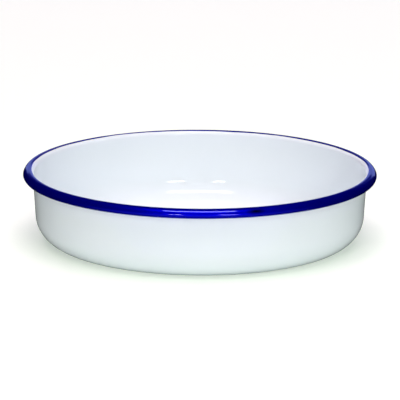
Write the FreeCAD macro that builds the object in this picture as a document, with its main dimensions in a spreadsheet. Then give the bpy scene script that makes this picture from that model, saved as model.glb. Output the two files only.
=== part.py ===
import FreeCAD, Part
import math
import os

import Sketcher

# A round baking tin: one disc of sheet steel, pressed into a dish, rolled over at its edge
# and enamelled all over. Its section is the same all the way round, so it is drawn once,
# as a strip of one thickness, and turned about the upright axis.
# The origin is at the middle of the base, level with the table, and Z is up. The section
# has the radius along its level axis and the height along its upright axis.

# Driving sizes in millimetres and degrees. A bend's radius is that of its wider face.
SIZES = {
    "rim_diameter": 280.0,  # across the outside of the rolled rim
    "height": 59.0,  # from the table to the top of the rim
    "wall": 1.2,  # 0.8 mm sheet with 0.2 mm of enamel on each side
    "panel_rise": 0.8,  # how far the middle of the base is pressed up
    "panel_fold": 4.0,  # both bends of the step round that raised panel
    "stand_ring": 12.0,  # width of the flat ring that the tin stands on
    "base_corner": 22.7,  # between the stand ring and the wall
    "draft": 3.6,  # lean of the wall, so that a cake slips out
    "flare_radius": 4.1,  # wall turning outwards into the top of the rim
    "crown_radius": 4.4,  # top of the rim turning down
    "crown_turn": 50.0,
    "side_radius": 7.3,  # flatter outer side of the rim
    "side_turn": 19.0,
    "curl_radius": 2.8,  # edge curling under
    "tuck_turn": 50.0,  # hidden end of the sheet turning up again behind the rim
    "seam_gap": 0.4,  # between the sheet's edge there and the wall
}

# The sketch's own axes, and the points that a line or an arc has
LEVEL_AXIS = -1
UPRIGHT_AXIS = -2
ORIGIN_POINT = (LEVEL_AXIS, 1)
START, END, CENTRE = 1, 2, 3


def write_sheet(doc):
    """Put the driving sizes in a sheet, one named cell each."""
    sheet = doc.addObject("Spreadsheet::Sheet", "sizes")
    for row, (name, value) in enumerate(SIZES.items(), start=1):
        sheet.set(f"A{row}", name)
        sheet.set(f"B{row}", str(value))
        sheet.setAlias(f"B{row}", name)
    doc.recompute()


class Span:
    """One stretch of the strip: the same line or bend on the food face and on the back."""

    def __init__(self, food, back, entry, far):
        self.food = food
        self.back = back
        self.entry = entry
        self.far = far


class Strip:
    """A strip of sheet in a sketch, drawn outwards from the axis, food face on its left."""

    def __init__(self, sketch, wall):
        self.sketch = sketch
        self.wall = wall
        self.place = FreeCAD.Vector(0, wall, 0)
        self.heading = 0.0
        self.last = None
        self.rules = []
        self.formulas = {}

    def left(self):
        """Unit vector to the left of the way that the strip runs."""
        angle = math.radians(self.heading + 90)
        return FreeCAD.Vector(math.cos(angle), math.sin(angle), 0)

    def straight(self, length):
        """Run straight on. The length is a first guess, which the constraints settle."""
        left = self.left()
        start = self.place
        self.place = start + FreeCAD.Vector(left.y, -left.x, 0) * length
        faces = []
        for depth in (0, self.wall):
            edge = Part.LineSegment(start - left * depth, self.place - left * depth)
            faces.append(self.sketch.addGeometry(edge))
        self.fix("Parallel", *faces)
        return self.follow(Span(*faces, START, END))

    def bend(self, radius, turn):
        """Turn left by so many degrees, or right if they are negative."""
        hand = math.copysign(1, turn)
        radii = (radius - self.wall, radius) if turn > 0 else (radius, radius - self.wall)
        centre = self.place + self.left() * (hand * radii[0])
        begin = math.radians(self.heading - hand * 90)
        finish = begin + math.radians(turn)
        faces = [self.arc(centre, face, min(begin, finish), max(begin, finish)) for face in radii]
        self.heading += turn
        self.place = centre - self.left() * (hand * radii[0])
        self.fix("Coincident", faces[0], CENTRE, faces[1], CENTRE)
        return self.follow(Span(*faces, START, END) if turn > 0 else Span(*faces, END, START))

    def arc(self, centre, radius, begin, finish):
        circle = Part.Circle(centre, FreeCAD.Vector(0, 0, 1), radius)
        return self.sketch.addGeometry(Part.ArcOfCircle(circle, begin, finish))

    def follow(self, span):
        """Make a new span run on smoothly from the last one, on both faces."""
        last = self.last
        if last:
            self.fix("Tangent", last.food, last.far, span.food, span.entry)
            self.fix("Tangent", last.back, last.far, span.back, span.entry)
        self.last = span
        return span

    def close(self, span, point, back, food):
        """Close one end of the strip with a line from its back to its food face."""
        line = self.sketch.addGeometry(Part.LineSegment(back, food))
        self.fix("Coincident", line, START, span.back, point)
        self.fix("Coincident", line, END, span.food, point)
        return line

    def close_on_axis(self, first):
        """Close the strip's inner end along the upright axis."""
        bottom = FreeCAD.Vector(0, 0, 0)
        line = self.close(first, first.entry, bottom, bottom + FreeCAD.Vector(0, self.wall, 0))
        self.fix("PointOnObject", line, START, UPRIGHT_AXIS)
        self.fix("PointOnObject", line, END, UPRIGHT_AXIS)

    def shear(self):
        """Cut the strip's outer end, a bend, square to its faces."""
        line = self.close(self.last, self.last.far, self.place - self.left() * self.wall, self.place)
        self.fix("PointOnObject", self.last.food, CENTRE, line)

    def fix(self, *words):
        """Note a constraint for the sketch."""
        self.rules.append(Sketcher.Constraint(*words))

    def size(self, name, *words, formula=None, value=None):
        """Note a dimension that a cell of the sheet drives, or a formula of several cells."""
        if formula is None:
            formula = f"sizes.{name}"
            value = SIZES[name]
        if words[0] == "Angle":
            value = math.radians(value)
        self.formulas[len(self.rules)] = (name, formula)
        self.fix(*words, value)

    def settle(self):
        """Give the sketch its constraints, all at once, and tie its dimensions."""
        self.sketch.addConstraint(self.rules)
        for index, (name, formula) in self.formulas.items():
            self.sketch.renameConstraint(index, name)
            self.sketch.setExpression(f"Constraints.{name}", formula)


def draw_section(sketch):
    """Draw the sheet's section, from the axis to the edge hidden behind the rim."""
    size = SIZES
    crown_and_side = size["crown_turn"] + size["side_turn"]
    fold_turn = math.degrees(math.acos(1 - size["panel_rise"] / (2 * size["panel_fold"] - size["wall"])))

    # Room between the wall and the middle of the curl, which the tuck turns up in
    top_to_side = (size["crown_radius"] - size["side_radius"]) * math.sin(math.radians(size["crown_turn"]))
    side_to_curl = (size["side_radius"] - size["curl_radius"]) * math.sin(math.radians(crown_and_side))
    room = size["flare_radius"] - size["wall"] + top_to_side + side_to_curl
    tuck_radius = (room - size["seam_gap"]) / math.sin(math.radians(size["tuck_turn"]))

    # Nearly the lengths of the panel and the wall, which the rim's place and height settle
    rim_width = size["flare_radius"] + size["crown_radius"]
    panel_length = size["rim_diameter"] / 2 - rim_width - size["base_corner"] - size["stand_ring"]
    wall_length = size["height"] - size["flare_radius"] - size["base_corner"]

    strip = Strip(sketch, size["wall"])
    panel = strip.straight(panel_length)
    fold_down = strip.bend(size["panel_fold"], -fold_turn)
    fold_out = strip.bend(size["panel_fold"], fold_turn)
    ring = strip.straight(size["stand_ring"])
    corner = strip.bend(size["base_corner"], 90 - size["draft"])
    wall = strip.straight(wall_length)
    flare = strip.bend(size["flare_radius"], size["draft"] - 90)
    crown = strip.bend(size["crown_radius"], -size["crown_turn"])
    side = strip.bend(size["side_radius"], -size["side_turn"])
    curl = strip.bend(size["curl_radius"], crown_and_side - 180)
    tuck = strip.bend(tuck_radius, -size["tuck_turn"])
    strip.shear()
    strip.close_on_axis(panel)

    # The panel and the stand ring lie level, the ring on the table
    strip.fix("Horizontal", panel.back)
    strip.fix("Horizontal", ring.back)
    strip.fix("PointOnObject", ring.back, START, LEVEL_AXIS)
    # The flare ends at the very top of the rim, and the curl at its very bottom
    strip.fix("Vertical", flare.food, CENTRE, flare.food, flare.far)
    strip.fix("Vertical", curl.food, CENTRE, curl.food, curl.far)

    strip.size("wall", "Distance", wall.food, START, wall.back)
    strip.size("panel_rise", "DistanceY", ring.back, START, panel.back, START)
    strip.size("panel_fold", "Radius", fold_down.food)
    strip.fix("Equal", fold_down.food, fold_out.back)
    strip.size("stand_ring", "DistanceX", ring.back, START, ring.back, END)
    strip.size("base_corner", "Radius", corner.back)
    strip.size("draft", "Angle", wall.back, START, UPRIGHT_AXIS, START)
    strip.size("flare_radius", "Radius", flare.food)
    strip.size("height", "DistanceY", *ORIGIN_POINT, flare.food, flare.far)
    strip.size("crown_radius", "Radius", crown.food)
    strip.size("crown_turn", "Angle", crown.food)
    strip.size("side_radius", "Radius", side.food)
    strip.size("side_turn", "Angle", side.food)
    strip.size("curl_radius", "Radius", curl.food)
    strip.size(
        "rim_reach",
        "DistanceX",
        *ORIGIN_POINT,
        curl.food,
        CENTRE,
        formula="sizes.rim_diameter / 2 - sizes.curl_radius",
        value=size["rim_diameter"] / 2 - size["curl_radius"],
    )
    strip.size("tuck_turn", "Angle", tuck.food)
    strip.size("seam_gap", "Distance", tuck.food, tuck.far, wall.back)
    strip.settle()


def main():
    doc = FreeCAD.newDocument("baking_tin")
    write_sheet(doc)
    tin = doc.addObject("PartDesign::Body", "baking_tin")
    plane = next(face for face in tin.Origin.OriginFeatures if face.Role == "XZ_Plane")
    section = tin.newObject("Sketcher::SketchObject", "sheet_section")
    section.AttachmentSupport = [(plane, "")]
    section.MapMode = "FlatFace"
    draw_section(section)
    doc.recompute()

    turned = tin.newObject("PartDesign::Revolution", "turned_sheet")
    turned.Profile = section
    turned.ReferenceAxis = (section, ["V_Axis"])
    turned.Angle = 360
    doc.recompute()

    for thing in doc.Objects:
        if {"Invalid", "Error"} & set(thing.State):
            raise RuntimeError(f"{thing.Name} did not build")
    if not section.FullyConstrained:
        raise RuntimeError("the section isn't fully constrained")
    solid = tin.Shape
    if solid.isNull() or not solid.isValid() or len(solid.Solids) != 1:
        raise RuntimeError("the tin isn't one valid solid")

    os.makedirs("parts", exist_ok=True)
    solid.exportStep(f"parts/{tin.Label}.step")
    box = solid.optimalBoundingBox()
    print(f"{tin.Label}: {box.XLength:.2f} x {box.YLength:.2f} x {box.ZLength:.2f} mm, {solid.Volume:.0f} mm3")


main()
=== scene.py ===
import math

import bpy
import numpy as np
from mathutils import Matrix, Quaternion, Vector


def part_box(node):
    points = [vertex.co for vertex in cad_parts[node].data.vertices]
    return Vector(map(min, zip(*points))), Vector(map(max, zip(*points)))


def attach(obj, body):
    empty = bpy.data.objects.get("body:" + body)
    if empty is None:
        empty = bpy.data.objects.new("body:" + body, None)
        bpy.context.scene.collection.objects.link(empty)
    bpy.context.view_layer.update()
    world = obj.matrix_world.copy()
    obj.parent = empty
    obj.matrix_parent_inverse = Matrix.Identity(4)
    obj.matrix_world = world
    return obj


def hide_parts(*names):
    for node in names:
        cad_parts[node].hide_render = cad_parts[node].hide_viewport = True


# The looks of a round baking tin: pressed sheet steel under fired enamel, white all over
# and cobalt blue round the rolled rim. Lengths are in metres. The middle of the base is
# the origin, Z is up, and -Y faces the camera.

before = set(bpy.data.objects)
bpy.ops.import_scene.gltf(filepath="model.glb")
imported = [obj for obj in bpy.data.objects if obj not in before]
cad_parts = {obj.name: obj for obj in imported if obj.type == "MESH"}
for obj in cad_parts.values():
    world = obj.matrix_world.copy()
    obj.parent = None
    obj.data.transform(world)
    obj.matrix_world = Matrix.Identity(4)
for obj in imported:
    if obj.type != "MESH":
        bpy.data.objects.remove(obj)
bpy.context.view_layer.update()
tin_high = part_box("baking_tin")[1]

MM = 0.001

# Driving sizes of the sheet, as its solid has them. A bend's radius is that of its wider face.
RIM_REACH = tin_high.x
HEIGHT = tin_high.z
WALL = 1.2 * MM
PANEL_RISE = 0.8 * MM
PANEL_FOLD = 4.0 * MM
STAND_RING = 12.0 * MM
BASE_CORNER = 22.7 * MM
DRAFT = math.radians(3.6)
FLARE_RADIUS = 4.1 * MM
CROWN_RADIUS = 4.4 * MM
CROWN_TURN = math.radians(50)
SIDE_RADIUS = 7.3 * MM
SIDE_TURN = math.radians(19)
CURL_RADIUS = 2.8 * MM
TUCK_TURN = math.radians(50)
SEAM_GAP = 0.4 * MM

# The blue coat begins on the inner flare of the rim, a little before the top, and ends on the
# edge tucked up under the roll. Its face is the tin's own, and the white sinks a hair below it.
BLUE_COAT = 0.12 * MM  # thickness, half of it sunk in the white
BLUE_RELIEF = 0.06 * MM  # from the white up to the face of the blue
BLUE_START_CLIMB = math.radians(28)  # slope of the flare where the blue begins
BLUE_WANDER = 0.22 * MM  # height of a wave of size 1 in the brushed border
BLUE_LIP = 0.35 * MM  # width of the soft edge
WHITE_FADE = 4 * MM  # stretch over which the white sinks to the relief

# A nearly black soft oval painted into the blue, on the outer slope of the rim, to the right of the front
DARK_OVAL_AZIMUTH = math.radians(18)
DARK_OVAL_REACH = RIM_REACH - 1.4 * MM
DARK_OVAL_HEIGHT = HEIGHT - 2.7 * MM
DARK_OVAL_LENGTH = 21 * MM
DARK_OVAL_WIDTH = 6 * MM

# How finely the surfaces are cut up: the longest stretch of a section, the most that one
# stretch turns, which is less where it shows more, and the steps round the tin
LONGEST_STRETCH = 8 * MM
FACE_TURN = math.radians(3)
BACK_TURN = math.radians(4)
UNDER_BLUE_TURN = math.radians(7)
BLUE_BACK_TURN = math.radians(9)
CUT_EDGE_STEPS = 8
LIP_STEPS = 4
STEPS_ROUND = 360
NO_LENGTH = 1e-9

# A Mix node's colour sockets, which share their names with its other sockets
COLOUR_A, COLOUR_B, COLOUR_RESULT = 6, 7, 2


class FoodFace:
    """The line of the food face in section, followed outwards from the middle of the base."""

    def __init__(self, height):
        self.place = np.array((0.0, height))
        self.heading = 0.0
        self.length = 0.0
        self.spans = []

    def straight(self, length):
        self.add(length, 0.0)

    def bend(self, radius, turn):
        """Turn left by an angle, or right if it is negative, at a radius of the food face."""
        self.add(radius * abs(turn), math.copysign(1 / radius, turn))

    def add(self, length, curve):
        self.spans.append((self.length, self.place, self.heading, length, curve))
        self.place, self.heading = self.along(self.place, self.heading, length, curve)
        self.length += length

    def along(self, place, heading, length, curve):
        """Where a span of one curve ends, and which way it then heads."""
        end = heading + length * curve
        if curve:
            step = np.array((math.sin(end) - math.sin(heading), math.cos(heading) - math.cos(end))) / curve
        else:
            step = length * np.array((math.cos(heading), math.sin(heading)))
        return place + step, end

    def at(self, distance, depth=0.0):
        """The point so far along the line and so deep under the face."""
        begun = [span for span in self.spans if span[0] <= distance]
        start, place, heading, _, curve = begun[-1]
        point, way = self.along(place, heading, distance - start, curve)
        return point + depth * np.array((math.sin(way), -math.cos(way)))

    def stops(self, first, last, most_turn):
        """Distances to sample between two places: even steps in each span, and its ends."""
        marks = [first]
        for start, _, _, length, curve in self.spans:
            low, high = max(start, first), min(start + length, last)
            if high - low > NO_LENGTH:
                share = max((high - low) / LONGEST_STRETCH, (high - low) * abs(curve) / most_turn)
                steps = max(1, math.ceil(share))
                marks += [low + (high - low) * (n + 1) / steps for n in range(steps)]
        return marks


def face_to_curl(panel):
    """The food face as far as the curl's lowest point, the foot of its wall, and where blue begins."""
    fold_turn = math.acos(1 - PANEL_RISE / (2 * PANEL_FOLD - WALL))
    corner_turn = math.pi / 2 - DRAFT
    curl_turn = math.pi - CROWN_TURN - SIDE_TURN
    wall_top = HEIGHT - FLARE_RADIUS * (1 - math.sin(DRAFT))
    face = FoodFace(WALL + PANEL_RISE)
    face.straight(panel)
    face.bend(PANEL_FOLD, -fold_turn)
    face.bend(PANEL_FOLD - WALL, fold_turn)
    face.straight(STAND_RING)
    face.bend(BASE_CORNER - WALL, corner_turn)
    wall_foot = face.place
    face.straight((wall_top - wall_foot[1]) / math.cos(DRAFT))
    border = face.length + FLARE_RADIUS * (corner_turn - BLUE_START_CLIMB)
    face.bend(FLARE_RADIUS, -corner_turn)
    face.bend(CROWN_RADIUS, -CROWN_TURN)
    face.bend(SIDE_RADIUS, -SIDE_TURN)
    face.bend(CURL_RADIUS, -curl_turn)
    return face, wall_foot, border


def food_face():
    """The food face from the middle of the base to the tucked edge, and where blue begins."""
    # The rim reaches one radius past the middle of the curl, which is right above its lowest
    # point, and a tin with no panel shows how much of that reach is left for the panel
    without_panel = face_to_curl(0.0)[0]
    panel = RIM_REACH - CURL_RADIUS - without_panel.place[0]
    face, wall_foot, border = face_to_curl(panel)
    # The tuck's radius brings the sheet's edge to within the gap of the wall's outer face
    lean = math.tan(DRAFT)
    wall_back = wall_foot + WALL * np.array((math.cos(DRAFT), -math.sin(DRAFT)))
    wall_there = wall_back[0] + (face.place[1] - wall_back[1]) * lean
    room = face.place[0] - wall_there - SEAM_GAP / math.cos(DRAFT)
    face.bend(room / (math.sin(TUCK_TURN) + (1 - math.cos(TUCK_TURN)) * lean), -TUCK_TURN)
    return face, border


def wander(angle):
    """How far the brushed border strays at an angle round the rim, along the sheet."""
    # A few slow waves: how many there are round the rim, how high each is, and where it starts
    waves = ((1, 0.5, 3.14), (3, 0.9, 3.1), (7, 0.6, 2.1), (13, 0.45, 4.4), (29, 0.25, 1.3))
    return BLUE_WANDER * sum(size * math.sin(n * angle + phase) for n, size, phase in waves)


def white_section(face, border):
    """Outline of the white tin, which sinks a hair under the blue coat, so that the coat lies on it."""
    edge = face.length - WALL / 2

    def depth(distance):
        share = min(1.0, max(0.0, (distance - (border - WHITE_FADE)) / WHITE_FADE))
        return BLUE_RELIEF * share * share * (3 - 2 * share)

    food = face.stops(0, border, FACE_TURN)
    under_blue = face.stops(border, edge, UNDER_BLUE_TURN)[1:]
    outline = [face.at(d, depth(d)) for d in food + under_blue]
    # The enamel rounds the cut edge of the sheet, in half a circle from one face to the other
    middle = face.at(edge, WALL / 2)
    out = (face.at(edge) - middle) / (WALL / 2)
    ahead = np.array((out[1], -out[0]))
    for n in range(1, CUT_EDGE_STEPS):
        turn = math.pi * n / CUT_EDGE_STEPS
        outline.append(middle + WALL / 2 * (math.cos(turn) * out + math.sin(turn) * ahead))
    back = face.stops(0, edge, BACK_TURN)
    outline += [face.at(d, WALL) for d in reversed(back)]
    return [(max(r, 0.0), z) for r, z in outline]


def blue_section(face, border, end, angle):
    """Outline of the blue coat at an angle round the rim: a thin ring with soft lips."""
    # The hidden border strays as the one in sight does one radian further round
    start = border + wander(angle)
    finish = end + wander(angle + 1)
    # A lip is a quarter of an ellipse, from the underside of the coat up to its face
    shares = [n / LIP_STEPS for n in range(LIP_STEPS)]
    lip = [(BLUE_LIP * (1 - math.sqrt(1 - s * s)), BLUE_COAT * (1 - s)) for s in shares]
    rise = [(start + inwards, depth) for inwards, depth in lip]
    fall = [(finish - inwards, depth) for inwards, depth in reversed(lip)]
    stretch = (finish - start - 2 * BLUE_LIP) / (end - border)
    face_stops = face.stops(border, end, FACE_TURN)
    top = [(start + BLUE_LIP + (d - border) * stretch, 0.0) for d in face_stops]
    back_stops = face.stops(border, end, BLUE_BACK_TURN)[1:-1]
    under = [(start + BLUE_LIP + (d - border) * stretch, BLUE_COAT) for d in reversed(back_stops)]
    return [face.at(d, depth) for d, depth in rise + top + fall + under]


def turned(name, section_at, closed):
    """A mesh turned about the upright axis. section_at gives the section's points at an angle.

    An open section begins and ends on the axis, and a closed one is a ring clear of it."""
    angles = [2 * math.pi * n / STEPS_ROUND for n in range(STEPS_ROUND)]
    rows = [section_at(angle) for angle in angles]
    middles = []
    if not closed:
        middles = [(0, 0, rows[0][0][1]), (0, 0, rows[0][-1][1])]
        rows = [row[1:-1] for row in rows]
    count = len(rows[0])
    points = [(r * math.sin(a), -r * math.cos(a), z) for a, row in zip(angles, rows) for r, z in row]
    top, bottom = len(points), len(points) + 1
    faces = []
    for n in range(STEPS_ROUND):
        here = n * count
        beside = (n + 1) % STEPS_ROUND * count
        for low in range(count if closed else count - 1):
            high = (low + 1) % count
            faces.append((here + low, here + high, beside + high, beside + low))
        if not closed:
            faces.append((top, here, beside))
            faces.append((bottom, beside + count - 1, here + count - 1))
    mesh = bpy.data.meshes.new(name)
    mesh.from_pydata(points + middles, [], faces)
    mesh.shade_smooth()
    piece = bpy.data.objects.new(name, mesh)
    bpy.context.scene.collection.objects.link(piece)
    return piece


def linear(hex_colour):
    """An sRGB hex colour as the linear colour that a shader takes."""
    parts = [int(hex_colour[n : n + 2], 16) / 255 for n in (1, 3, 5)]
    return [p / 12.92 if p <= 0.04045 else ((p + 0.055) / 1.055) ** 2.4 for p in parts] + [1.0]


def add_node(tree, kind, settings=None, links=None):
    """Add a node. Settings name its input sockets or its own choices, and links feed its sockets.

    A socket that has no name of its own goes by its number."""
    node = tree.nodes.new(kind)
    for name, value in (settings or {}).items():
        if isinstance(name, int) or name in node.inputs:
            node.inputs[name].default_value = value
        else:
            setattr(node, name, value)
    for name, source in (links or {}).items():
        tree.links.new(source, node.inputs[name])
    return node


def new_material(name):
    material = bpy.data.materials.new(name)
    material.use_nodes = True
    material.node_tree.nodes.clear()
    return material, material.node_tree


def white_enamel():
    """Vitreous enamel: opaque white glass, dipped on and fired on the pressed steel.

    The melt levelled itself, so it is a cool white with soft and slightly swaying reflections."""
    material, tree = new_material("white_enamel")
    place = add_node(tree, "ShaderNodeTexCoord").outputs["Object"]
    # Slow swells and a faint orange peel
    swells_apart, swell_height = 25 * MM, 0.06 * MM
    peel_apart, peel_height = 3 * MM, 0.004 * MM
    swell = add_node(
        tree,
        "ShaderNodeTexNoise",
        {"Scale": 1 / swells_apart, "Detail": 1.0},
        {"Vector": place},
    )
    peel = add_node(
        tree,
        "ShaderNodeTexNoise",
        {"Scale": 1 / peel_apart, "Detail": 2.0},
        {"Vector": place},
    )
    slow = add_node(
        tree,
        "ShaderNodeBump",
        {"Strength": 1.0, "Distance": swell_height},
        {"Height": swell.outputs["Fac"]},
    )
    fine = add_node(
        tree,
        "ShaderNodeBump",
        {"Strength": 1.0, "Distance": peel_height},
        {"Height": peel.outputs["Fac"], "Normal": slow.outputs["Normal"]},
    )
    # The coat is a little thicker in some places, and there it is whiter and its gloss softer
    clouds_apart = 60 * MM
    cloud = add_node(
        tree,
        "ShaderNodeTexNoise",
        {"Scale": 1 / clouds_apart, "Detail": 2.0},
        {"Vector": place},
    )
    tone = add_node(
        tree,
        "ShaderNodeMix",
        {"data_type": "RGBA", COLOUR_A: linear("#E9F2F5"), COLOUR_B: linear("#EEF6F8")},
        {"Factor": cloud.outputs["Fac"]},
    )
    roughness = add_node(
        tree,
        "ShaderNodeMapRange",
        {"To Min": 0.07, "To Max": 0.12},
        {"Value": cloud.outputs["Fac"]},
    )
    enamel = add_node(
        tree,
        "ShaderNodeBsdfPrincipled",
        {"IOR": 1.5},
        {
            "Base Color": tone.outputs[COLOUR_RESULT],
            "Roughness": roughness.outputs["Result"],
            "Normal": fine.outputs["Normal"],
        },
    )
    add_node(tree, "ShaderNodeOutputMaterial", None, {"Surface": enamel.outputs["BSDF"]})
    return material


def blue_enamel():
    """Cobalt enamel: deep blue glass, brushed round the rim over the white and fired again.

    Light comes back out of the glass as a broad blue gleam, strongest at the front of the rim,
    which a metal-like share gives. The clear surface over it draws sharp and slightly wavy streaks."""
    material, tree = new_material("blue_enamel")
    place = add_node(tree, "ShaderNodeTexCoord").outputs["Object"]
    # Brushed on and melted, it lies in long low waves, with shorter ones between
    swells_apart, swell_height = 14 * MM, 0.06 * MM
    ripples_apart, ripple_height = 5 * MM, 0.008 * MM
    swell = add_node(
        tree,
        "ShaderNodeTexNoise",
        {"Scale": 1 / swells_apart, "Detail": 1.0},
        {"Vector": place},
    )
    ripple = add_node(
        tree,
        "ShaderNodeTexNoise",
        {"Scale": 1 / ripples_apart, "Detail": 1.0},
        {"Vector": place},
    )
    slow = add_node(
        tree,
        "ShaderNodeBump",
        {"Strength": 1.0, "Distance": swell_height},
        {"Height": swell.outputs["Fac"]},
    )
    wavy = add_node(
        tree,
        "ShaderNodeBump",
        {"Strength": 1.0, "Distance": ripple_height},
        {"Height": ripple.outputs["Fac"], "Normal": slow.outputs["Normal"]},
    )
    # The brush left more of it in some places, and there the blue is deeper
    clouds_apart = 30 * MM
    cloud = add_node(
        tree,
        "ShaderNodeTexNoise",
        {"Scale": 1 / clouds_apart, "Detail": 2.0},
        {"Vector": place},
    )
    tone = add_node(
        tree,
        "ShaderNodeMix",
        {"data_type": "RGBA", COLOUR_A: linear("#0101DA"), COLOUR_B: linear("#0202EC")},
        {"Factor": cloud.outputs["Fac"]},
    )
    # One nearly black soft oval painted into the blue colour. The distance from
    # its middle is 1 all round its outline, where the oval has faded out.
    oval_x, oval_y = DARK_OVAL_REACH * math.sin(DARK_OVAL_AZIMUTH), -DARK_OVAL_REACH * math.cos(DARK_OVAL_AZIMUTH)
    oval = add_node(
        tree,
        "ShaderNodeMapping",
        {
            "vector_type": "TEXTURE",
            "Location": (oval_x, oval_y, DARK_OVAL_HEIGHT),
            "Rotation": (0, 0, DARK_OVAL_AZIMUTH),
            "Scale": (DARK_OVAL_LENGTH / 2, DARK_OVAL_WIDTH / 2, DARK_OVAL_WIDTH / 2),
        },
        {"Vector": place},
    )
    from_middle = add_node(
        tree,
        "ShaderNodeVectorMath",
        {"operation": "LENGTH"},
        {"Vector": oval.outputs["Vector"]},
    )
    dark_oval_share = add_node(
        tree,
        "ShaderNodeMapRange",
        {"interpolation_type": "SMOOTHSTEP", "From Min": 1.0, "From Max": 0.1, "To Max": 1.0},
        {"Value": from_middle.outputs["Value"]},
    )
    blue_and_dark_oval = add_node(
        tree,
        "ShaderNodeMix",
        {"data_type": "RGBA", COLOUR_B: linear("#00000A")},
        {"Factor": dark_oval_share.outputs["Result"], COLOUR_A: tone.outputs[COLOUR_RESULT]},
    )
    enamel = add_node(
        tree,
        "ShaderNodeBsdfPrincipled",
        {
            "Metallic": 0.9,
            "Roughness": 0.42,
            "Specular IOR Level": 0.0,
            "Coat Weight": 1.0,
            "Coat IOR": 1.5,
            "Coat Roughness": 0.05,
        },
        {
            "Base Color": blue_and_dark_oval.outputs[COLOUR_RESULT],
            "Normal": wavy.outputs["Normal"],
            "Coat Normal": wavy.outputs["Normal"],
        },
    )
    add_node(tree, "ShaderNodeOutputMaterial", None, {"Surface": enamel.outputs["BSDF"]})
    return material


def floor_card():
    """Matt white card: pressed paper without gloss, an even pale ground.

    It shines a little by itself, as a lit table does, so that the tin's shadow stays faint."""
    material, tree = new_material("floor_card")
    card = add_node(
        tree,
        "ShaderNodeBsdfPrincipled",
        {"Base Color": linear("#E0E9DA"), "Roughness": 0.9, "IOR": 1.3, "Emission Strength": 0.27},
    )
    add_node(tree, "ShaderNodeOutputMaterial", None, {"Surface": card.outputs["BSDF"]})
    return material


def dress(piece, material):
    """Give a piece its finish. It moves with the tin's one body and stands for its solid."""
    piece.data.materials.append(material)
    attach(piece, "root")
    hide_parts("baking_tin")


def towards(azimuth, elevation):
    """Direction at an azimuth in degrees from the front towards +X, and an elevation."""
    a, e = math.radians(azimuth), math.radians(elevation)
    return Vector((math.sin(a) * math.cos(e), -math.cos(a) * math.cos(e), math.sin(e)))


def softbox(name, azimuth, elevation, distance, size, radiance, colour, in_gloss=True):
    """A flat lamp with a diffuser, or a lit paper, aimed at the tin. Its size is width and height.

    A fill is kept out of the gloss, so that only the other lamps mirror in the enamel."""
    width, height = size
    lamp = bpy.data.lights.new(name, "AREA")
    lamp.shape = "RECTANGLE"
    lamp.size = width
    lamp.size_y = height
    lamp.color = linear(colour)[:3]
    lamp.energy = radiance * width * height * math.pi
    box = bpy.data.objects.new(name, lamp)
    way = towards(azimuth, elevation)
    box.location = Vector((0, 0, HEIGHT / 2)) + way * distance
    box.rotation_mode = "QUATERNION"
    box.rotation_quaternion = way.to_track_quat("Z", "Y")
    box.visible_camera = False
    box.visible_glossy = in_gloss
    bpy.context.scene.collection.objects.link(box)
    return box


def low_paper():
    """Blue paper that lies face up in front of the tin, and that only the gloss sees.

    The underside of the rim mirrors it in place of the floor, and so keeps its depth of blue."""
    paper = softbox("low_paper", 0, 0, 0.36, (0.9, 0.4), 0.5, "#6A74FF")
    half_turn_about_x = (0, 1, 0, 0)
    paper.location.z = 1 * MM
    paper.rotation_quaternion = half_turn_about_x
    paper.visible_diffuse = False


def floor(size):
    """A square floor that the tin stands on, and that the gloss doesn't see."""
    half = size / 2
    mesh = bpy.data.meshes.new("floor")
    corners = [(-half, -half, 0), (half, -half, 0), (half, half, 0), (-half, half, 0)]
    mesh.from_pydata(corners, [], [(0, 1, 2, 3)])
    mesh.materials.append(floor_card())
    card = bpy.data.objects.new("floor", mesh)
    card.visible_glossy = False
    bpy.context.scene.collection.objects.link(card)


def studio_air(colour, strength):
    """Faint light from all round, as the air and walls of a studio give it."""
    world = bpy.data.worlds.new("studio_air")
    world.use_nodes = True
    tree = world.node_tree
    tree.nodes.clear()
    air = add_node(tree, "ShaderNodeBackground", {"Color": linear(colour), "Strength": strength})
    add_node(tree, "ShaderNodeOutputWorld", None, {"Surface": air.outputs["Background"]})
    world.cycles_visibility.glossy = False
    bpy.context.scene.world = world


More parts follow.
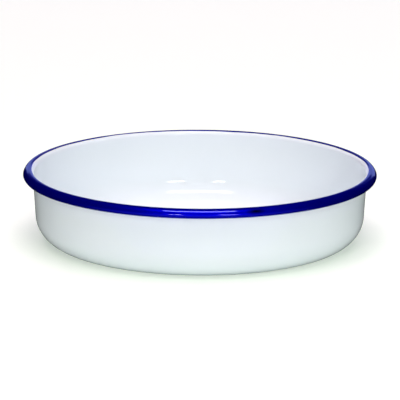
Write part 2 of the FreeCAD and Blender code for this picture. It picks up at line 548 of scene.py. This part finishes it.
def camera():
    """The photograph's view: a long lens far off, a little above the rim and a hair out of level."""
    distance = 3.5
    elevation = 13.815
    roll = math.radians(0.317)
    picture = 400
    pixels_per_metre = 1260.3
    tin_in_picture = (199.74, 204.0)
    data = bpy.data.cameras.new("camera")
    data.sensor_width = 36
    data.lens = data.sensor_width * pixels_per_metre * distance / picture
    data.shift_x = (picture / 2 - tin_in_picture[0]) / picture
    data.shift_y = (tin_in_picture[1] - picture / 2) / picture
    data.clip_start = 0.1
    data.clip_end = 100
    eye = bpy.data.objects.new("camera", data)
    way = towards(0, elevation)
    eye.location = Vector((0, 0, HEIGHT / 2)) + way * distance
    eye.rotation_mode = "QUATERNION"
    eye.rotation_quaternion = way.to_track_quat("Z", "Y") @ Quaternion((0, 0, 1), roll)
    bpy.context.scene.collection.objects.link(eye)
    bpy.context.scene.camera = eye


face, border = food_face()
# The blue ends as far from the cut edge as the wall is thick
blue_end = face.length - WALL
white_outline = white_section(face, border)

white_tin = turned("white_tin", lambda angle: white_outline, closed=False)
dress(white_tin, white_enamel())
blue_rim = turned("blue_rim", lambda angle: blue_section(face, border, blue_end, angle), closed=True)
dress(blue_rim, blue_enamel())

floor(size=60)
studio_air("#FFFFFF", strength=0.02)

# Each lamp has its azimuth and elevation in degrees, its distance, its width and height, how
# bright its face is, and its colour. The first draws the long streak on the front of the rim,
# and the two beside the camera draw the short ones under it.
softbox("top_softbox", 0, 65, 2.2, (1.3, 0.5), 7.0, "#FFFFFF")
softbox("right_lamp", 17.5, 16, 2.0, (0.38, 0.16), 28.0, "#FFFAF0")
softbox("left_lamp", -14.5, 16, 2.0, (0.3, 0.16), 26.0, "#FFFAF0")
# A paper behind the tin, whose pale reflection lies on the left and right ends of the rim
softbox("back_paper", 176.5, 7.6, 2.5, (1.9, 0.68), 0.8, "#98AAFF")
# Fills from all round keep the floor white and the enamel evenly bright, and a blue card
# standing on the floor in front makes the front of the rim the brightest blue
softbox("sky_fill", 180, 84, 6.0, (6.0, 6.0), 2.6, "#FFE8FF", in_gloss=False)
softbox("front_fill", 0, 32, 9.6, (5.6, 2.8), 3.75, "#F7F8EE", in_gloss=False)
softbox("front_card", 0, 1.5, 1.2, (0.9, 0.12), 2.2, "#2430FF")
softbox("back_fill", 180, 35, 3.0, (2.0, 1.2), 1.4, "#F8F4FF", in_gloss=False)
softbox("right_fill", 82, 25, 1.6, (1.0, 1.2), 0.55, "#CBF3F6", in_gloss=False)
softbox("left_fill", -82, 25, 1.6, (1.0, 1.2), 0.15, "#CBF3F6", in_gloss=False)
low_paper()
camera()
bpy.context.scene.view_settings.view_transform = "Standard"
